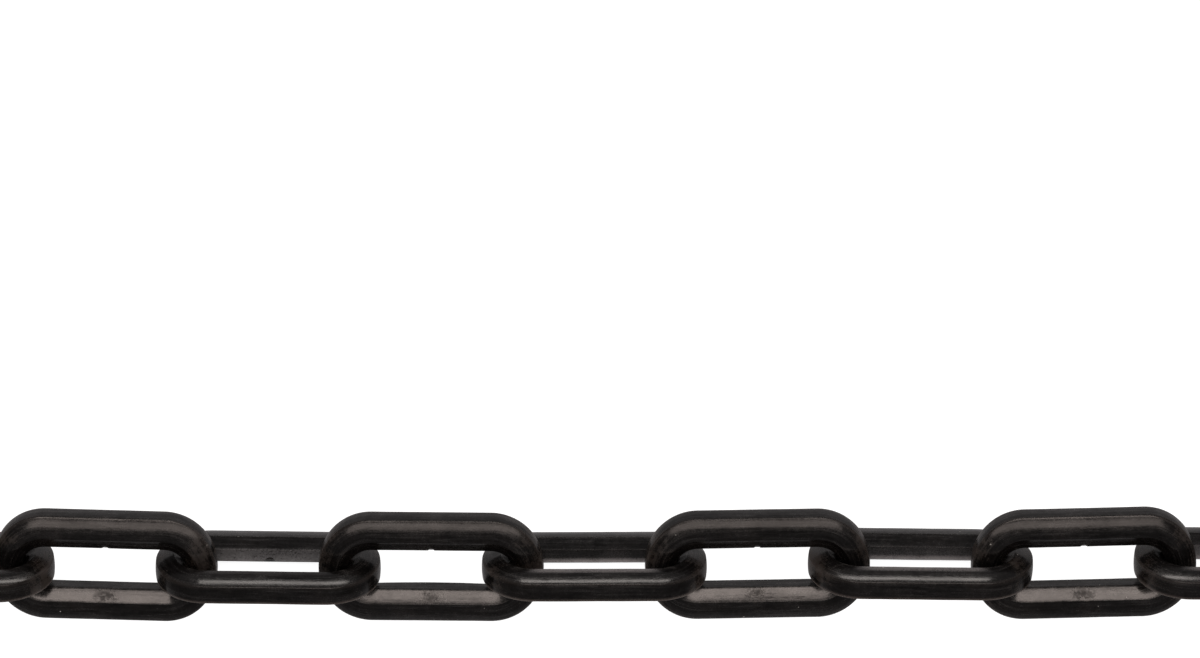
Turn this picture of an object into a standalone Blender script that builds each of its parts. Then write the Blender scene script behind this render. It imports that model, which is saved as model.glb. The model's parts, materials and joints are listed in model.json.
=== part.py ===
"""A straight run of black plastic chain, pulled taut on a flat surface.

Each link is one closed moulded loop that passes through both of its neighbours. Links stand at 45 degrees
to the surface, turned one way and the other in turn, so that each rests on one of its own bars.
Units are metres. +X runs along the chain, +Z is up, and the origin is under the middle of the run.
"""

import math

import bmesh
import bpy

LINK_COUNT = 24
PITCH = 0.0381
SEAT_GAP = 0.0006
OUTER_LENGTH = 0.0526
CROWN_DEPTH = (OUTER_LENGTH - PITCH - SEAT_GAP) / 2
LINK_ROLL = math.radians(45)

CROWN_START = 0.0139
INNER_HALF_LENGTH = OUTER_LENGTH / 2 - CROWN_DEPTH
INNER_HALF_WIDTH = 0.0052
JOINT_TO_CENTRE = PITCH - INNER_HALF_LENGTH - CROWN_DEPTH / 2
CROWN_SEGMENTS = 11

BAR_FLAT_HALF = 0.0016
CROWN_FLAT_HALF = 0.0014
WIDEST_DEPTH = 0.0031
HALF_THICKNESS = 0.0036
SIDE_RADIUS = 0.0115
SIDE_START = math.radians(3)
SIDE_END = math.radians(28)
CAP_START = math.radians(73)
CAP_FLAT_HALF = 0.0007
EDGE_CHAMFER = 0.0003

PLASTIC_COLOUR = (0.0065, 0.0060, 0.0056, 1.0)
PLASTIC_ROUGHNESS = 0.3
SHARP_EDGE = math.radians(35)


def clear_scene():
    for item in list(bpy.data.objects):
        bpy.data.objects.remove(item, do_unlink=True)


def plastic_material():
    material = bpy.data.materials.new("black_plastic")
    material.use_nodes = True
    shader = material.node_tree.nodes["Principled BSDF"]
    shader.inputs["Base Color"].default_value = PLASTIC_COLOUR
    shader.inputs["Roughness"].default_value = PLASTIC_ROUGHNESS
    shader.inputs["Metallic"].default_value = 0.0
    return material


def side_point(normal):
    """A point of the crowned side as (depth, height), where the side's normal has this angle to the height."""
    depth = WIDEST_DEPTH + SIDE_RADIUS * (math.sin(normal) - math.sin(SIDE_START))
    height = HALF_THICKNESS - SIDE_RADIUS * (math.cos(SIDE_START) - math.cos(normal))
    return depth, height


def cap_depth(height):
    """The depth of the outer cap's arc at a height. The arc starts at the end of the side."""
    edge_depth, edge_height = side_point(SIDE_END)
    radius = edge_height / math.cos(CAP_START)
    return edge_depth + math.sqrt(radius**2 - height**2) - radius * math.sin(CAP_START)


def chamfered(inner, edge, outer):
    """The two corners that a 45 degree chamfer makes of an edge, between the corners before and after it."""
    reach = sum(edge) - EDGE_CHAMFER
    corners = []
    for other in (inner, outer):
        share = (reach - sum(other)) / (sum(edge) - sum(other))
        corners.append(tuple(o + (e - o) * share for o, e in zip(other, edge)))
    return corners


def section(flat_half):
    """The bar's section as (depth, height) pairs, from the inner face at depth 0 round to it again.

    It has a flat inner face, sides that flare out to the widest line, crowned sides from there to the
    chamfered outer edge, and a nearly flat outer cap.
    """
    middle = side_point((SIDE_START + SIDE_END) / 2)
    cap = (cap_depth(CAP_FLAT_HALF), CAP_FLAT_HALF)
    outer_edge = chamfered(middle, side_point(SIDE_END), cap)
    upper = [(0.0, flat_half), (WIDEST_DEPTH, HALF_THICKNESS), middle, *outer_edge, cap]
    lower = [(depth, -height) for depth, height in reversed(upper)]
    return upper + lower


def crown_point(angle, depth):
    """A point of the crown in the link's plane. The section is less deep at the crown's middle than at the bars."""
    reach = INNER_HALF_LENGTH - CROWN_START + depth * CROWN_DEPTH / cap_depth(CAP_FLAT_HALF)
    width = INNER_HALF_WIDTH + depth
    return CROWN_START + reach * math.cos(angle), width * math.sin(angle)


def ring(mesh, angle, end):
    """The section's corners at one angle of the crown at one end (+1 or -1) of the link."""
    flat_half = CROWN_FLAT_HALF + (BAR_FLAT_HALF - CROWN_FLAT_HALF) * math.sin(angle) ** 2
    corners = []
    for depth, height in section(flat_half):
        x, y = crown_point(angle, depth)
        corners.append(mesh.verts.new((end * x + JOINT_TO_CENTRE, end * y, height)))
    return corners


def link_mesh():
    """One link about its left joint: the two crowns' rings in order round the loop, bridged into a closed tube."""
    angles = [math.pi * (step / CROWN_SEGMENTS - 0.5) for step in range(CROWN_SEGMENTS + 1)]
    mesh = bmesh.new()
    rings = [ring(mesh, angle, end) for end in (1, -1) for angle in angles]
    for this, following in zip(rings, rings[1:] + rings[:1]):
        for n in range(len(this)):
            m = (n + 1) % len(this)
            mesh.faces.new((this[n], this[m], following[m], following[n]))
    bmesh.ops.recalc_face_normals(mesh, faces=mesh.faces)
    data = bpy.data.meshes.new("link")
    mesh.to_mesh(data)
    mesh.free()
    data.shade_smooth()
    data.set_sharp_from_angle(angle=SHARP_EDGE)
    return data


def rest_height():
    """The chain's axis above the surface, where the lower bars rest on the outer edge's chamfer."""
    edge_depth, edge_height = side_point(SIDE_END)
    return (INNER_HALF_WIDTH + edge_depth) * math.sin(LINK_ROLL) + (edge_height - EDGE_CHAMFER) * math.cos(LINK_ROLL)


def place_link(number, mesh):
    """Stand one link in the row. Its origin is the joint with the link before, in that link's crown."""
    link = bpy.data.objects.new(f"link_{number:02d}", mesh)
    centre_x = (number - (LINK_COUNT + 1) / 2) * PITCH
    link.location = (centre_x - JOINT_TO_CENTRE, 0.0, rest_height())
    link.rotation_euler.x = LINK_ROLL if number % 2 else -LINK_ROLL
    bpy.context.scene.collection.objects.link(link)


def main():
    clear_scene()
    mesh = link_mesh()
    mesh.materials.append(plastic_material())
    for number in range(1, LINK_COUNT + 1):
        place_link(number, mesh)


main()
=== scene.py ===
"""The looks of a straight run of black moulded plastic chain on a pale surface.

Every link is one fine mesh from the same node tree, with its own small irregularities, and stands for the
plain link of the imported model. Units are metres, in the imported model's frame: +X runs along the chain.
"""

import json
import math
import random

import bpy
from mathutils import Matrix, Vector

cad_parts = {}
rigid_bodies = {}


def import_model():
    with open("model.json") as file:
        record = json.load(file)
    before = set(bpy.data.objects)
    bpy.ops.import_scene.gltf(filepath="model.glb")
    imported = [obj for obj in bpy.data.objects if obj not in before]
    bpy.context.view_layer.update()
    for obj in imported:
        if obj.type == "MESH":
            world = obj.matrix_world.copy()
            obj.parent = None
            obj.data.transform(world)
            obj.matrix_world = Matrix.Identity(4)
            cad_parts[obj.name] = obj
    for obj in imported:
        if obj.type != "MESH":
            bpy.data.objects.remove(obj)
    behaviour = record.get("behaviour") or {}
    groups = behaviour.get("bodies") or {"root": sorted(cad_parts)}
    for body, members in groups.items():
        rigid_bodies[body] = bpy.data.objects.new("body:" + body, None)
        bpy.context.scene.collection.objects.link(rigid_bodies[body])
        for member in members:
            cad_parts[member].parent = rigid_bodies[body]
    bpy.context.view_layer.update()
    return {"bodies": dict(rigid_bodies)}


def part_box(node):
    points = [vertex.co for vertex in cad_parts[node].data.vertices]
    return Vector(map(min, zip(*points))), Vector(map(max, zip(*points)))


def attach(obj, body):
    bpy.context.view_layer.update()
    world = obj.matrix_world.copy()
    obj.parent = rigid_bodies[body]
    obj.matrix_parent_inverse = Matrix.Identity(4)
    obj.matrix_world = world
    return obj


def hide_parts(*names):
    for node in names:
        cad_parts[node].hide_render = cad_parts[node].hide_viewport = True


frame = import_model()

MM = 0.001

# The link's driving sizes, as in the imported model.
PITCH = 38.1 * MM
SEAT_GAP = 0.6 * MM
OUTER_LENGTH = 52.6 * MM
CROWN_DEPTH = (OUTER_LENGTH - PITCH - SEAT_GAP) / 2
CROWN_START = 13.9 * MM
INNER_HALF_LENGTH = OUTER_LENGTH / 2 - CROWN_DEPTH
INNER_HALF_WIDTH = 5.2 * MM
LINK_ROLL = math.radians(45)

# The section: a flat inner face, sides that flare out to the widest line, and then three arcs to the tip:
# the crowned side, the small round of the outer edge and the nearly flat cap.
BAR_FLAT_HALF = 1.6 * MM
CROWN_FLAT_HALF = 1.4 * MM
HALF_THICKNESS = 3.6 * MM
INNER_EDGE_RADIUS, FLANK_RADIUS, CREST_RADIUS = 0.06 * MM, 41.0 * MM, 0.15 * MM
SIDE_RADIUS, OUTER_EDGE_RADIUS = 12.6 * MM, 0.22 * MM
FACING_IN, FACING_OUT = -math.pi / 2, math.pi / 2
FLANK_START, FLANK_END = math.radians(-35.3), math.radians(-30.4)
SIDE_START, SIDE_END = math.radians(3), math.radians(26.7)
CAP_START = math.radians(81)

# The mesh: rings round the loop, and points on half the section for the inner face and each arc.
RINGS = 216
FACE_POINTS, ARC_POINTS = 4, (3, 7, 4, 9, 4, 6)
HALF_POINTS = FACE_POINTS + sum(ARC_POINTS)
MID_BAR_CROWDING = 0.7

# How each link that the photo shows lies: its turn in plan and extra roll in degrees, and its shift aside in
# mm. The other links lie by chance, within the largest values.
LIES = {
    9: (-1.85, -0.6, 0.52),
    10: (-0.95, -1.1, -0.14),
    11: (-0.75, 1.2, -0.24),
    12: (-0.05, 1.2, -0.30),
    13: (0.75, 1.2, 0.12),
    14: (-0.9, 0.0, 0.06),
    15: (1.2, -0.6, 0.13),
}
LIE_SEED = 24000
LARGEST_TURN = 0.7
LARGEST_ROLL = 0.8
LARGEST_ASIDE = 0.2

# The photo's frame and where its middle link shows in it.
PHOTO_WIDTH, PHOTO_HEIGHT = 1200, 658
CHAIN_AXIS_ROW = 565.5
SEEN_LINK, SEEN_LINK_COLUMN = 12, 594.3
PITCH_IN_PIXELS = 163.0
METRES_PER_PIXEL = PITCH / PITCH_IN_PIXELS
CAMERA_ELEVATION, CAMERA_TURN = math.radians(73.6), math.radians(-0.21)
LENS, SENSOR = 150.0, 36.0

# Moulding marks. Every link but the plain ones has a pit at its gate, which is larger on even links. Odd links
# have a ground scar too, on the flank of the lower bar. BOWS and TRIMS are single links' faults.
FLASH_WIDTH, FLASH_RUN = 0.4 * MM, 1.6 * MM
GATE_STRAY, GATE_STRAY_SEED = 1.5 * MM, 5.0
GATE_FLOOR_SHARE = 0.6
EVEN_GATE_DEPTH, EVEN_GATE_RADIUS = 0.6 * MM, 1.5 * MM
PLAIN_LINKS = (12, 14)
SCAR_ASIDE, SCAR_HEIGHT = 6.8 * MM, 2.6 * MM
SCAR_RADIUS, SCAR_SQUEEZE = 2.4 * MM, 0.6
BOWS = {11: 0.28 * MM}
TRIMS = {10: 0.45 * MM, 12: 0.30 * MM, 14: 0.12 * MM}
SEED_STEP, ROUGHCAST_SEED, FLASH_SEED = 11.7, 7.3, 3.1

# Wear and painted sheen on the links that the photo shows well: how frosted the inner face of the far bar is,
# and how chafed the edges beside it are. The frost grows paler towards that face's lower edge, and the chafe
# is pale paint along that edge and along the upper crest of the near bar: both paint a highlight there. The
# other even links have it by chance, and odd links have none.
WEAR_AND_SHEEN = {10: (1.0, 0.1), 12: (0.14, 1.0), 14: (0.3, 0.8)}
ODD_WEAR_AND_SHEEN = (0.0, 0.0)
EVEN_FROST_AND_RIM_SHEEN_RANGE = (0.3, 0.9)
WEAR_AND_SHEEN_SEED = 500
INNER_FACE_REACH = 0.5 * MM
# The chafe, pale paint that also stands for a highlight: how far it reaches from the far bar's inner edge and
# past the near bar's crest, and how the crest's band fades towards the crowns.
CHAFE_AND_SHEEN_REACH, CHAFE_AND_SHEEN_FADE = 1.3 * MM, 2.5 * MM
CREST_CHAFE_AND_SHEEN_START, CREST_CHAFE_AND_SHEEN_END, CREST_CHAFE_AND_SHEEN_SHARE = 0.8 * MM, 1.8 * MM, 0.5

# The plastic's finish: its colours, and the size and relief of each pattern.
PLASTIC_BLACK = (0.0016, 0.0013, 0.0012, 1.0)
PLASTIC_BROWN = (0.0080, 0.0056, 0.0046, 1.0)
STREAK_GREY = (0.0200, 0.0172, 0.0166, 1.0)
DUST_BROWN = (0.040, 0.028, 0.021, 1.0)
# Brown rub on the outer edges, which also paints a highlight line along them and a reflection of the table
# under them.
RUB_AND_SHEEN_BROWN = (0.052, 0.041, 0.036, 1.0)
# Frost colour, which also paints a highlight where it grows stronger towards the far bar's lower inner edge.
FROST_AND_RIM_SHEEN_GREY = (0.135, 0.127, 0.127, 1.0)
# Pale chafe colour, which also paints the highlights at the far bar's lower inner edge and along the near
# bar's crest.
CHAFE_AND_SHEEN_GREY = (0.200, 0.178, 0.176, 1.0)
SPECK_PALE = (0.30, 0.28, 0.26, 1.0)
STREAK_STRETCH, STREAK_SIZE, STREAK_RELIEF, STREAK_TRAVEL = 1.6, 0.55 * MM, 0.022 * MM, 40
PEEL_SIZE, PEEL_RELIEF = 1.3 * MM, 0.013 * MM
CLOUD_SIZE, CLOUD_SEED = 7.0 * MM, 4.0
GRIT_SIZE, GRIT_SEED, GRIT_RELIEF = 0.45 * MM, 9.0, 0.012 * MM
SWIRL_SIZE, SWIRL_SEED, SWIRL_STRENGTH = 1.1 * MM, 2.0, 4.0
# The band of rub along the outer edges, which also paints a highlight line there.
EDGE_RUB_AND_SHEEN_START, EDGE_RUB_AND_SHEEN_END = 0.1 * MM, 0.9 * MM
SPECK_SPACING, SPECK_RARITY = 3.2 * MM, 0.86
SPECK_SMALLEST, SPECK_SPREAD, SPECK_SOFTNESS = 0.03, 0.04, 0.02
COAT_ROUGHNESS = 0.12

# The floor, and the room's brightness, where 1 is white.
FLOOR_HALF = 60.0
FLOOR_GREY, FLOOR_ROUGHNESS, FLOOR_SHINE, FLOOR_GLOW = (0.3, 0.3, 0.3, 1.0), 0.9, 0.2, 0.92
ROOM_LIGHT = 1.0

# The room as the plastic reflects it: a table below the horizon and dark walls above it, with soft changes
# from front to back (y), from up to down (z) and out to the sides (x).
FAR_TABLE, NEAR_TABLE, BACK_TABLE, SIDE_TABLE = 0.07, 0.30, 0.25, 0.10
FRONT_ROOM, BACK_ROOM, SIDE_ROOM = 0.085, 0.118, 0.04
TABLE_SIDES, ROOM_SIDES = (0.3, 0.8), (0.3, 0.9)
TABLE_FRONT, FRONT_TO_BACK, HORIZON = (-0.75, -0.25), (-0.25, 0.25), (-0.03, 0.03)
PLAIN_WHITE, GLOSS_TINT = (1.0, 1.0, 1.0, 1.0), (1.0, 0.95, 0.955, 1.0)

# The soft lights: the angle up from the far horizon and the spread in degrees, the width, the radiance, the
# colour and the shift to the right.
WARM_LIGHT, PLAIN_LIGHT = (1.0, 0.86, 0.79), (1.0, 0.93, 0.88)
LIGHT_DISTANCE = 1.2
LIGHTS = {
    "overhead_box": (98.5, 10.0, 1.04, 4.5, WARM_LIGHT, 0.03),
    "front_box": (121.2, 15.5, 1.26, 1.62, WARM_LIGHT, 0.0),
    "back_box": (28.6, 7.0, 0.54, 4.6, PLAIN_LIGHT, 0.0),
}


class Value:
    """A socket of a node tree. Arithmetic on it adds Math nodes to the tree."""

    def __init__(self, tree, socket):
        self.tree = tree
        self.socket = socket

    def math(self, operation, *others, first=None):
        inputs = [self, *others] if first is None else [first, self]
        return self.tree.add("ShaderNodeMath", {"operation": operation}, dict(enumerate(inputs)))

    def part(self, name):
        """Another output of the same node."""
        return Value(self.tree, self.socket.node.outputs[name])

    def __add__(self, other):
        return self.math("ADD", other)

    __radd__ = __add__

    def __sub__(self, other):
        return self.math("SUBTRACT", other)

    def __rsub__(self, other):
        return self.math("SUBTRACT", first=other)

    def __mul__(self, other):
        return self.math("MULTIPLY", other)

    __rmul__ = __mul__

    def __truediv__(self, other):
        return self.math("DIVIDE", other)

    def __rtruediv__(self, other):
        return self.math("DIVIDE", first=other)

    def __pow__(self, other):
        return self.math("POWER", other)

    def between(self, low, high):
        """0 at low and 1 at high, in a straight line, and held outside."""
        settings = {"clamp": True}
        sockets = {"Value": self, "From Min": low, "From Max": high}
        return self.tree.add("ShaderNodeMapRange", settings, sockets)

    def eased(self, low, high):
        """0 at low and 1 at high, with soft ends."""
        settings = {"clamp": True, "interpolation_type": "SMOOTHSTEP"}
        sockets = {"Value": self, "From Min": low, "From Max": high}
        return self.tree.add("ShaderNodeMapRange", settings, sockets)


class Tree:
    """Adds nodes to a node tree."""

    def __init__(self, node_tree):
        self.node_tree = node_tree

    def add(self, kind, settings=None, sockets=None, output=0):
        """One node: its settings first, then the value or link of each socket. Gives one of its outputs."""
        node = self.node_tree.nodes.new(kind)
        for name, value in (settings or {}).items():
            setattr(node, name, value)
        for name, value in (sockets or {}).items():
            if isinstance(value, Value):
                self.node_tree.links.new(value.socket, node.inputs[name])
            else:
                node.inputs[name].default_value = value
        return Value(self, node.outputs[output])

    def vector(self, x=0.0, y=0.0, z=0.0):
        return self.add("ShaderNodeCombineXYZ", None, {"X": x, "Y": y, "Z": z})

    def split(self, vector):
        """The three parts of a vector."""
        parts = self.add("ShaderNodeSeparateXYZ", None, {"Vector": vector})
        return parts, parts.part("Y"), parts.part("Z")

    def noise(self, place, size, seed=0.0, detail=2.0, swirl=0.0):
        """Noise between about -1 and 1 with features of this size."""
        sockets = {"Vector": place, "W": seed, "Scale": 1.0 / size, "Detail": detail, "Distortion": swirl}
        return self.add("ShaderNodeTexNoise", {"noise_dimensions": "4D"}, sockets) * 2 - 1

    def distance(self, first, second):
        return self.add("ShaderNodeVectorMath", {"operation": "DISTANCE"}, {0: first, 1: second}, "Value")

    def mixed(self, share, first, second):
        """The first colour, with this share of the second."""
        return self.add("ShaderNodeMix", {"data_type": "RGBA"}, {"Factor": share, 6: first, 7: second}, 2)

    def stored(self, name):
        """In a material: the three parts of a vector that the mesh carries."""
        return self.split(self.add("ShaderNodeAttribute", {"attribute_name": name}, output="Vector"))

    def ring(self, points):
        return self.add("GeometryNodeCurvePrimitiveCircle", {"mode": "RADIUS"}, {"Resolution": points})

    def named(self, name, kind="FLOAT"):
        return self.add("GeometryNodeInputNamedAttribute", {"data_type": kind}, {"Name": name})

    def store(self, geometry, name, value, kind="FLOAT"):
        settings = {"data_type": kind, "domain": "POINT"}
        sockets = {"Geometry": geometry, "Name": name, "Value": value}
        return self.add("GeometryNodeStoreNamedAttribute", settings, sockets)

    def place(self, geometry, position=None, offset=None):
        sockets = {"Geometry": geometry}
        if position is not None:
            sockets["Position"] = position
        if offset is not None:
            sockets["Offset"] = offset
        return self.add("GeometryNodeSetPosition", None, sockets)


LINK_INPUTS = {
    "Rings": ("NodeSocketInt", RINGS),
    "Section Points": ("NodeSocketInt", 2 * HALF_POINTS),
    "Crown Depth": ("NodeSocketFloat", CROWN_DEPTH),
    "Seat Fill": ("NodeSocketFloat", 0.2 * MM),
    "Waviness": ("NodeSocketFloat", 0.05 * MM),
    "Wave Size": ("NodeSocketFloat", 9.0 * MM),
    "Roughcast": ("NodeSocketFloat", 0.012 * MM),
    "Roughcast Size": ("NodeSocketFloat", 2.2 * MM),
    "Flash": ("NodeSocketFloat", 0.02 * MM),
    "Inner Bow": ("NodeSocketFloat", 0.0),
    "Far Trim": ("NodeSocketFloat", 0.0),
    "Gate Side": ("NodeSocketFloat", 1.0),
    "Gate Depth": ("NodeSocketFloat", 0.2 * MM),
    "Gate Radius": ("NodeSocketFloat", 0.8 * MM),
    "Scar": ("NodeSocketFloat", 0.0),
    "Frost And Rim Sheen": ("NodeSocketFloat", 0.5),
    "Chafe And Sheen": ("NodeSocketFloat", 0.0),
    "Seed": ("NodeSocketFloat", 0.0),
    "Plastic": ("NodeSocketMaterial", None),
}


def section_arcs():
    """The section's arcs from the inner face to the tip, as (radius, first normal, last normal).

    A normal's angle is measured from the link's axis and towards the outside. The cap takes what height is
    left.
    """
    arcs = [
        (INNER_EDGE_RADIUS, FACING_IN, FLANK_START),
        (FLANK_RADIUS, FLANK_START, FLANK_END),
        (CREST_RADIUS, FLANK_END, SIDE_START),
        (SIDE_RADIUS, SIDE_START, SIDE_END),
        (OUTER_EDGE_RADIUS, SIDE_END, CAP_START),
    ]
    left = HALF_THICKNESS + sum(rise(arc) for arc in arcs[3:])
    return arcs + [(left / math.cos(CAP_START), CAP_START, FACING_OUT)]


def rise(arc):
    radius, start, end = arc
    return radius * (math.cos(end) - math.cos(start))


def reach(arc):
    radius, start, end = arc
    return radius * (math.sin(end) - math.sin(start))


FACE_HALF = HALF_THICKNESS - sum(rise(arc) for arc in section_arcs()[:3])
WIDEST_DEPTH = sum(reach(arc) for arc in section_arcs()[:3])
BAR_DEPTH = sum(reach(arc) for arc in section_arcs())
OUTER_EDGE_DEPTH = BAR_DEPTH - sum(reach(arc) for arc in section_arcs()[4:]) + reach(section_arcs()[4]) / 2
OUTER_EDGE_HEIGHT = HALF_THICKNESS + rise(section_arcs()[3]) + rise(section_arcs()[4]) / 2


def section_curve(tree, given):
    """The bar's section as a closed curve: X is the height from the link's plane, Y the depth outwards."""
    counts = (FACE_POINTS, *ARC_POINTS)
    stops = [sum(counts[:count]) / HALF_POINTS for count in range(len(counts) + 1)]
    ring = tree.ring(given["Section Points"])
    turn = tree.add("GeometryNodeInputIndex") / given["Section Points"]
    way = 1 - (turn * 2 - 1).math("ABSOLUTE")
    side = (0.5 - turn).math("SIGN")
    stages = [way.between(low, high) for low, high in zip(stops, stops[1:])]
    height = stages[0] * FACE_HALF
    depth = stages[0] * 0
    for stage, (radius, start, end) in zip(stages[1:], section_arcs()):
        angle = stage * (end - start) + start
        depth = depth + (angle.math("SINE") - math.sin(start)) * radius
        height = height + (angle.math("COSINE") - math.cos(start)) * radius
    shaped = tree.place(ring, tree.vector(height * side, depth))
    return tree.store(shaped, "section", tree.add("GeometryNodeInputPosition"), "FLOAT_VECTOR")


def loop_curve(tree, given):
    """The loop that the section follows. It only carries how far round the link each ring is."""
    ring = tree.ring(given["Rings"])
    return tree.store(ring, "travel", tree.add("GeometryNodeInputIndex") / given["Rings"])


def link_surface(tree, given, mesh):
    """Bends the closed tube into the link: a crown, a bar, the other crown and the other bar."""
    travel = tree.named("travel")
    halves = travel * 2
    end = 1 - halves.math("FLOOR") * 2
    way = halves.math("FRACT")
    angle = (way.between(0.0, 0.5) - 0.5) * math.pi
    along = way.between(0.5, 1.0)
    along = along + (along * (2 * math.pi)).math("SINE") * (MID_BAR_CROWDING / (2 * math.pi))
    height, depth, _ = tree.split(tree.named("section", "FLOAT_VECTOR"))
    crown = angle.math("COSINE")
    share = depth / BAR_DEPTH
    inner_side = 1 - depth.between(0.0, WIDEST_DEPTH)
    crown_reach = INNER_HALF_LENGTH - CROWN_START + share * given["Crown Depth"]
    crown_reach = crown_reach - inner_side * given["Seat Fill"]
    x = CROWN_START * (1 - along * 2) + crown_reach * crown
    aside = end * angle.math("SINE")
    near_edge = inner_side * height.between(0.0, -BAR_FLAT_HALF)
    bow = (1 - along * 2) ** 2 * aside.between(0.0, -1.0) * given["Inner Bow"]
    trim = aside.between(0.5, 1.0) * height.between(0.0, -HALF_THICKNESS) * given["Far Trim"]
    half_width = INNER_HALF_WIDTH + depth + near_edge * bow
    y = half_width * angle.math("SINE")
    narrowing = crown ** 2 * (1 - CROWN_FLAT_HALF / BAR_FLAT_HALF)
    z = height * (1 - narrowing * inner_side) + trim
    bent = tree.place(mesh, tree.vector(end * x, end * y, z))
    round_turn = travel * (2 * math.pi)
    loop = tree.vector(round_turn.math("COSINE"), round_turn.math("SINE"), crown)
    return tree.store(bent, "loop", loop, "FLOAT_VECTOR")


def moulding_marks(tree, given):
    """How far the surface stands proud of the true shape: waves, rough casting, flash and the gate's pit."""
    place = tree.add("GeometryNodeInputPosition")
    seed = given["Seed"]
    wave = tree.noise(place, given["Wave Size"], seed, 1.0) * given["Waviness"]
    rough = tree.noise(place, given["Roughcast Size"], seed + ROUGHCAST_SEED, 3.0) * given["Roughcast"]
    height, depth, _ = tree.split(tree.named("section", "FLOAT_VECTOR"))
    off_widest = (depth - WIDEST_DEPTH).math("ABSOLUTE")
    ridge = 1 - off_widest.eased(0.0, FLASH_WIDTH)
    broken = tree.noise(place, FLASH_RUN, seed + FLASH_SEED).between(0.0, 1.0)
    flash = ridge * broken * given["Flash"]
    return wave + rough + flash - gate_pit(tree, given) * given["Gate Depth"]


def gate_pit(tree, given):
    """1 in the small pit where the gate was cut off, at the inner edge of one bar, and 0 outside it."""
    gate = tree.vector(gate_stray(tree, given), INNER_HALF_WIDTH, given["Gate Side"] * BAR_FLAT_HALF)
    gap = tree.distance(tree.add("GeometryNodeInputPosition"), gate)
    return 1 - gap.eased(given["Gate Radius"] * GATE_FLOOR_SHARE, given["Gate Radius"])


def gate_stray(tree, given):
    """How far the gate is from the middle of the bar. Every link has its own."""
    return tree.noise(tree.vector(GATE_STRAY_SEED), 1.0, given["Seed"]) * GATE_STRAY


def worn_and_sheen_places(tree, given, mesh):
    """Stores how frosted, ground off and chafed the surface is at each place, from 0 to 1. The frost and the
    chafe also set
    painted highlights: at the far bar's lower inner edge and along the near bar's upper crest.
    """
    place = tree.add("GeometryNodeInputPosition")
    height, depth, _ = tree.split(tree.named("section", "FLOAT_VECTOR"))
    along, across, up = tree.split(place)
    inner = 1 - depth.eased(0.0, INNER_FACE_REACH)
    far_bar = across.eased(0.0, INNER_HALF_WIDTH)
    near_edge = 1 - height.eased(-BAR_FLAT_HALF, BAR_FLAT_HALF)
    # The frost grows towards the lower edge of the face, which paints a highlight along that rim.
    frost_and_rim_sheen = inner * far_bar * (0.5 + near_edge * 0.5) * (1 - gate_pit(tree, given)) * given["Frost And Rim Sheen"]
    # Chafe at the lower edge of the far bar's inner face: pale paint that is also a painted highlight along
    # that rim.
    edge_chafe_and_sheen = inner * far_bar * (1 - height.eased(-BAR_FLAT_HALF, CHAFE_AND_SHEEN_REACH - BAR_FLAT_HALF))
    # Chafe just past the upper crest of the near bar, on the bars only: also a painted highlight along the
    # crest.
    past_crest = depth - WIDEST_DEPTH
    on_crest = past_crest.eased(-CREST_RADIUS, 0.0)
    on_crest = on_crest * (1 - past_crest.eased(CREST_CHAFE_AND_SHEEN_START, CREST_CHAFE_AND_SHEEN_END))
    on_bar = 1 - along.math("ABSOLUTE").eased(CROWN_START - CHAFE_AND_SHEEN_FADE, CROWN_START + CHAFE_AND_SHEEN_FADE)
    near_bar = 1 - across.eased(-INNER_HALF_WIDTH, 0.0)
    crest_chafe_and_sheen = on_crest * height.eased(0.0, BAR_FLAT_HALF) * near_bar * on_bar
    chafe_and_sheen = (edge_chafe_and_sheen + crest_chafe_and_sheen * CREST_CHAFE_AND_SHEEN_SHARE) * given["Chafe And Sheen"]
    squeezed = tree.vector(along * SCAR_SQUEEZE, across, up)
    ground = tree.vector(gate_stray(tree, given) * SCAR_SQUEEZE, -SCAR_ASIDE, SCAR_HEIGHT)
    scar = (1 - tree.distance(squeezed, ground).between(0.0, SCAR_RADIUS)) * given["Scar"]
    return tree.store(mesh, "wear_and_sheen", tree.vector(frost_and_rim_sheen, scar, chafe_and_sheen), "FLOAT_VECTOR")


def link_tree():
    """The node tree that makes one link about the origin, with the loop in the XY plane."""
    group = bpy.data.node_groups.new("moulded_link", "GeometryNodeTree")
    group.interface.new_socket("Geometry", in_out="INPUT", socket_type="NodeSocketGeometry")
    for name, (kind, default) in LINK_INPUTS.items():
        socket = group.interface.new_socket(name, in_out="INPUT", socket_type=kind)
        if default is not None:
            socket.default_value = default
    group.interface.new_socket("Geometry", in_out="OUTPUT", socket_type="NodeSocketGeometry")
    tree = Tree(group)
    inputs = group.nodes.new("NodeGroupInput")
    given = {name: Value(tree, inputs.outputs[name]) for name in LINK_INPUTS}
    tube = tree.add(
        "GeometryNodeCurveToMesh",
        None,
        {"Curve": loop_curve(tree, given), "Profile Curve": section_curve(tree, given)},
    )
    bent = link_surface(tree, given, tube)
    offset = tree.add(
        "ShaderNodeVectorMath",
        {"operation": "SCALE"},
        {"Vector": tree.add("GeometryNodeInputNormal"), "Scale": moulding_marks(tree, given)},
    )
    marked = tree.place(worn_and_sheen_places(tree, given, bent), offset=offset)
    smooth = tree.add("GeometryNodeSetShadeSmooth", None, {"Geometry": marked})
    solid = tree.add("GeometryNodeRealizeInstances", None, {"Geometry": smooth})
    finished = tree.add("GeometryNodeSetMaterial", None, {"Geometry": solid, "Material": given["Plastic"]})
    outputs = group.nodes.new("NodeGroupOutput")
    group.links.new(finished.socket, outputs.inputs["Geometry"])
    return group


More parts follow.
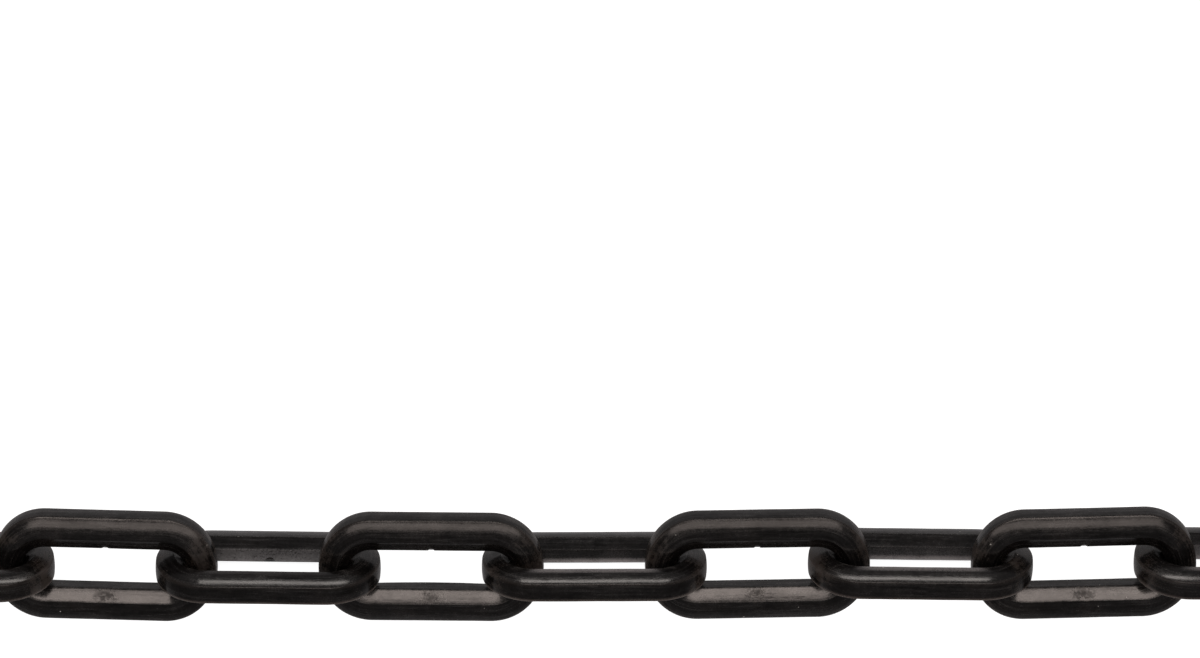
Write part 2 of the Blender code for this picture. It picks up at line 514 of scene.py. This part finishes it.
def black_plastic():
    """Black moulded plastic under a thin, uneven film of gloss.

    It has flow streaks round the link, a fine mottle, brown dust, mostly on the crowns, rubbed outer edges
    with a painted highlight line and, under the bars, a painted reflection of the table, worn faces whose
    frost and chafe also paint highlights at the rims, and a few pale specks. The mesh carries each point's
    place on the section and round the link.
    """
    material = bpy.data.materials.new("black_plastic")
    material.use_nodes = True
    shader = material.node_tree.nodes["Principled BSDF"]
    shader.inputs["Coat Roughness"].default_value = COAT_ROUGHNESS
    tree = Tree(material.node_tree)
    place = tree.add("ShaderNodeTexCoord", output="Object")
    along, _, _ = tree.split(place)
    height, depth, _ = tree.stored("section")
    round_x, round_y, crown = tree.stored("loop")
    frost_and_rim_sheen, scar, chafe_and_sheen = tree.stored("wear_and_sheen")

    flow = tree.vector(round_x * STREAK_STRETCH, round_y * STREAK_STRETCH, depth / STREAK_SIZE)
    across_flow = height / STREAK_SIZE + along * STREAK_TRAVEL
    sockets = {"Vector": flow, "W": across_flow, "Scale": 1.0, "Detail": 4.0, "Roughness": 0.6}
    streak = tree.add("ShaderNodeTexNoise", {"noise_dimensions": "4D"}, sockets)
    streaked = streak.between(0.35, 0.72)
    peel = tree.noise(place, PEEL_SIZE, 0.0, 2.0)
    cloud = tree.noise(place, CLOUD_SIZE, CLOUD_SEED, 3.0)
    grit = tree.noise(place, GRIT_SIZE, GRIT_SEED, 2.0)
    swirl = tree.noise(place, SWIRL_SIZE, SWIRL_SEED, 3.0, SWIRL_STRENGTH)

    mottled = (grit * 0.6 + peel * 0.7 + cloud * 0.3).between(-0.4, 0.6)
    # The frost, with its painted highlight towards the far bar's lower inner edge.
    frosted_and_rim_sheen = frost_and_rim_sheen * (0.7 + grit * 0.3 + cloud * 0.5 + swirl * 0.9).between(0.0, 1.1)
    ragged = (grit * 0.9 + peel * 0.9 + cloud * 0.4) * scar.eased(0.0, 0.3)
    scarred = (scar + ragged - 0.15).eased(0.0, 0.9)
    # The chafe, with its painted highlights at the far bar's lower inner edge and on the near bar's crest.
    chafed_and_sheen = chafe_and_sheen * (0.8 + grit * 0.4 + cloud * 0.4 + swirl * 0.4).between(0.1, 0.9)
    dust = cloud * 0.9 + peel * 0.35 + grit * 0.25 + streaked * 0.2
    dust = dust + crown.eased(0.1, 0.9) * 0.45 + crown * depth.between(WIDEST_DEPTH, BAR_DEPTH) * 0.3
    dusty = (dust - 0.35).eased(0.22, 0.8)
    # The rub on the outer edge: brown wear that also paints a highlight line along the edge.
    edge = tree.vector(OUTER_EDGE_DEPTH, OUTER_EDGE_HEIGHT)
    edge_gap = tree.distance(tree.vector(depth, height.math("ABSOLUTE")), edge)
    on_edge = 1 - edge_gap.eased(EDGE_RUB_AND_SHEEN_START, EDGE_RUB_AND_SHEEN_END)
    rubbed_and_sheen = on_edge * (0.55 + streaked * 0.35 + cloud * 0.3 + grit * 0.3)
    underside = height.between(0.0, -HALF_THICKNESS)
    sockets = {"Vector": place, "Scale": 1.0 / SPECK_SPACING}
    cells = tree.add("ShaderNodeTexVoronoi", {"feature": "F1"}, sockets)
    pick, size, _ = tree.split(cells.part("Color"))
    speck_edge = SPECK_SMALLEST + SPECK_SOFTNESS + size * SPECK_SPREAD
    speck = (1 - cells.eased(SPECK_SMALLEST, speck_edge)) * pick.math("GREATER_THAN", SPECK_RARITY)

    colour = tree.mixed(cloud.between(-0.1, 0.5) * 0.35, PLASTIC_BLACK, PLASTIC_BROWN)
    colour = tree.mixed(streaked ** 3 * 0.5 + mottled ** 3 * 0.3, colour, STREAK_GREY)
    colour = tree.mixed(dusty * 0.42, colour, DUST_BROWN)
    # Under the bar the rub is much stronger: there it paints the reflection of the lit table on the lower rim.
    rub_and_sheen_share = rubbed_and_sheen.between(0.0, 1.0) * (0.12 + crown * 0.25 + underside * 1.4)
    colour = tree.mixed(rub_and_sheen_share, colour, RUB_AND_SHEEN_BROWN)
    colour = tree.mixed(scarred * 0.28, colour, DUST_BROWN)
    # Frost grey: also the painted highlight at the far bar's lower inner edge.
    colour = tree.mixed(frosted_and_rim_sheen, colour, FROST_AND_RIM_SHEEN_GREY)
    # Chafe grey, which paints the highlights at the far bar's lower inner edge and on the near bar's crest.
    colour = tree.mixed(chafed_and_sheen, colour, CHAFE_AND_SHEEN_GREY)
    colour = tree.mixed(speck * 0.8, colour, SPECK_PALE)

    worn_and_sheen = dusty * 0.8 + frosted_and_rim_sheen + scarred + chafed_and_sheen + rubbed_and_sheen * 0.3
    roughness = 0.09 + streaked * 0.17 + mottled * 0.13 + worn_and_sheen * 0.25 + speck * 0.2
    film = streaked * 0.6 + mottled * 0.5 + swirl * 0.35 + cloud * 0.3 - 0.05 - worn_and_sheen * 0.4
    film = film.between(0.0, 1.0)
    relief = streak * STREAK_RELIEF + peel * PEEL_RELIEF + grit * (0.25 + worn_and_sheen * 0.6) * GRIT_RELIEF
    bump = tree.add("ShaderNodeBump", None, {"Height": relief, "Distance": 1.0, "Strength": 1.0})
    links = material.node_tree.links
    links.new(colour.socket, shader.inputs["Base Color"])
    links.new(roughness.socket, shader.inputs["Roughness"])
    links.new(film.socket, shader.inputs["Coat Weight"])
    links.new(bump.socket, shader.inputs["Normal"])
    return material


def inputs_of(number, plastic):
    """What one link's inputs are, apart from those that every link has by default."""
    odd = number % 2 == 1
    frost_and_rim_sheen, chafe_and_sheen = wear_and_sheen_of(number)
    inputs = {
        "Seed": SEED_STEP * number,
        "Gate Side": 1.0 if odd else -1.0,
        "Inner Bow": BOWS.get(number, 0.0),
        "Far Trim": TRIMS.get(number, 0.0),
        "Scar": 1.0 if odd else 0.0,
        "Frost And Rim Sheen": frost_and_rim_sheen,
        "Chafe And Sheen": chafe_and_sheen,
        "Plastic": plastic,
    }
    if not odd:
        inputs["Gate Depth"] = 0.0 if number in PLAIN_LINKS else EVEN_GATE_DEPTH
        inputs["Gate Radius"] = EVEN_GATE_RADIUS
    return inputs


def moulded_link(number, group, plastic):
    """One link's mesh, in its place in the chain."""
    inputs = inputs_of(number, plastic)
    holder = bpy.data.objects.new(f"moulded_link_{number:02d}", bpy.data.meshes.new("blank"))
    bpy.context.scene.collection.objects.link(holder)
    shaper = holder.modifiers.new("moulding", "NODES")
    shaper.node_group = group
    for item in group.interface.items_tree:
        if item.in_out == "INPUT" and item.name in inputs:
            shaper[item.identifier] = inputs[item.name]
    evaluated = holder.evaluated_get(bpy.context.evaluated_depsgraph_get())
    mesh = bpy.data.meshes.new_from_object(evaluated)
    holder.modifiers.clear()
    holder.data = mesh
    low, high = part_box(f"link_{number:02d}")
    turn, roll, aside = lie_of(number)
    leaning = LINK_ROLL + roll if number % 2 else -LINK_ROLL - roll
    mesh.transform(Matrix.Rotation(turn, 4, "Z") @ Matrix.Rotation(leaning, 4, "X"))
    mesh.transform(Matrix.Translation((low + high) / 2 + Vector((0.0, aside, 0.0))))
    lowest = min(vertex.co.z for vertex in mesh.vertices)
    mesh.transform(Matrix.Translation((0.0, 0.0, low.z - lowest)))
    mesh.name = holder.name
    return holder


def lie_of(number):
    """A link's turn in plan, extra roll and shift aside: as the photo shows them, or small chance ones."""
    chance = random.Random(LIE_SEED + number)
    turn = chance.uniform(-LARGEST_TURN, LARGEST_TURN)
    roll = chance.uniform(-LARGEST_ROLL, LARGEST_ROLL)
    aside = chance.uniform(-LARGEST_ASIDE, LARGEST_ASIDE)
    turn, roll, aside = LIES.get(number, (turn, roll, aside))
    return math.radians(turn), math.radians(roll), aside * MM


def wear_and_sheen_of(number):
    """How frosted and how chafed a link is, each from 0 to 1. Both also set how strong the highlights are that
    they paint at the rims.
    """
    if number % 2:
        return ODD_WEAR_AND_SHEEN
    chance = random.Random(WEAR_AND_SHEEN_SEED + number)
    return WEAR_AND_SHEEN.get(number, (chance.uniform(*EVEN_FROST_AND_RIM_SHEEN_RANGE), chance.random()))


def dress_links():
    group = link_tree()
    plastic = black_plastic()
    for body in sorted(frame["bodies"]):
        number = int(body.split("_")[1])
        piece = moulded_link(number, group, plastic)
        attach(piece, body)
        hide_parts(body)


def pale_floor():
    """A wide plain surface that the chain lies on. It glows a little, as a light table does."""
    mesh = bpy.data.meshes.new("floor")
    corners = [(x * FLOOR_HALF, y * FLOOR_HALF, 0.0) for x, y in ((-1, -1), (1, -1), (1, 1), (-1, 1))]
    mesh.from_pydata(corners, [], [(0, 1, 2, 3)])
    floor = bpy.data.objects.new("floor", mesh)
    bpy.context.scene.collection.objects.link(floor)
    material = bpy.data.materials.new("pale_surface")
    material.use_nodes = True
    shader = material.node_tree.nodes["Principled BSDF"]
    shader.inputs["Base Color"].default_value = FLOOR_GREY
    shader.inputs["Roughness"].default_value = FLOOR_ROUGHNESS
    shader.inputs["Specular IOR Level"].default_value = FLOOR_SHINE
    shader.inputs["Emission Color"].default_value = PLAIN_WHITE
    shader.inputs["Emission Strength"].default_value = FLOOR_GLOW
    mesh.materials.append(material)
    floor.visible_glossy = False


def softbox(name, angle, spread, width, radiance, colour, aside):
    """A soft light along the chain, out of the camera's sight."""
    light = bpy.data.lights.new(name, "AREA")
    light.shape = "RECTANGLE"
    depth = 2 * LIGHT_DISTANCE * math.tan(math.radians(spread) / 2)
    light.size, light.size_y = width, depth
    light.energy = radiance * math.pi * width * depth
    light.color = colour
    box = bpy.data.objects.new(name, light)
    upward = math.radians(angle)
    away = Vector((0.0, math.cos(upward), math.sin(upward)))
    box.rotation_euler = away.to_track_quat("Z", "Y").to_euler()
    box.location = away * LIGHT_DISTANCE + Vector((aside, 0.0, 0.0))
    box.visible_camera = False
    bpy.context.scene.collection.objects.link(box)


def studio():
    """An even white room, a dark one over a brighter table in the plastic's gloss, and the soft lights."""
    world = bpy.data.worlds.new("pale_room")
    bpy.context.scene.world = world
    world.use_nodes = True
    tree = Tree(world.node_tree)
    x, y, z = tree.split(tree.add("ShaderNodeTexCoord"))
    sideways = x.math("ABSOLUTE")
    back_table = BACK_TABLE + sideways.eased(*TABLE_SIDES) * (SIDE_TABLE - BACK_TABLE)
    front_table = NEAR_TABLE + z.eased(*TABLE_FRONT) * (FAR_TABLE - NEAR_TABLE)
    table = front_table + y.eased(*FRONT_TO_BACK) * (back_table - front_table)
    room = FRONT_ROOM + y.eased(*FRONT_TO_BACK) * (BACK_ROOM - FRONT_ROOM)
    room = room + sideways.eased(*ROOM_SIDES) * (SIDE_ROOM - room)
    gloss = table + z.eased(*HORIZON) * (room - table)
    seen_in_gloss = tree.add("ShaderNodeLightPath", output="Is Glossy Ray")
    strength = ROOM_LIGHT + seen_in_gloss * (gloss - ROOM_LIGHT)
    colour = tree.mixed(seen_in_gloss, PLAIN_WHITE, GLOSS_TINT)
    background = world.node_tree.nodes["Background"]
    world.node_tree.links.new(strength.socket, background.inputs["Strength"])
    world.node_tree.links.new(colour.socket, background.inputs["Color"])
    for name, settings in LIGHTS.items():
        softbox(name, *settings)


def photo_camera():
    """The camera of the photo: high in front of the chain, which it shows low in the frame."""
    low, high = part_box(f"link_{SEEN_LINK:02d}")
    middle_x = (low.x + high.x) / 2 + (PHOTO_WIDTH / 2 - SEEN_LINK_COLUMN) * METRES_PER_PIXEL
    target = Vector((middle_x, 0.0, (low.z + high.z) / 2))
    below_centre = math.atan((CHAIN_AXIS_ROW - PHOTO_HEIGHT / 2) / PHOTO_WIDTH * SENSOR / LENS)
    distance = PHOTO_WIDTH * METRES_PER_PIXEL * LENS / SENSOR / math.cos(below_centre)
    data = bpy.data.cameras.new("photo_camera")
    data.lens, data.sensor_width = LENS, SENSOR
    camera = bpy.data.objects.new("photo_camera", data)
    back = Vector((0.0, -math.cos(CAMERA_ELEVATION), math.sin(CAMERA_ELEVATION)))
    back.rotate(Matrix.Rotation(CAMERA_TURN, 3, "Z"))
    camera.location = target + back * distance
    camera.rotation_euler = (math.pi / 2 - (CAMERA_ELEVATION - below_centre), 0.0, CAMERA_TURN)
    bpy.context.scene.collection.objects.link(camera)
    bpy.context.scene.camera = camera


bpy.context.scene.view_settings.view_transform = "Standard"
photo_camera()
dress_links()
pale_floor()
studio()
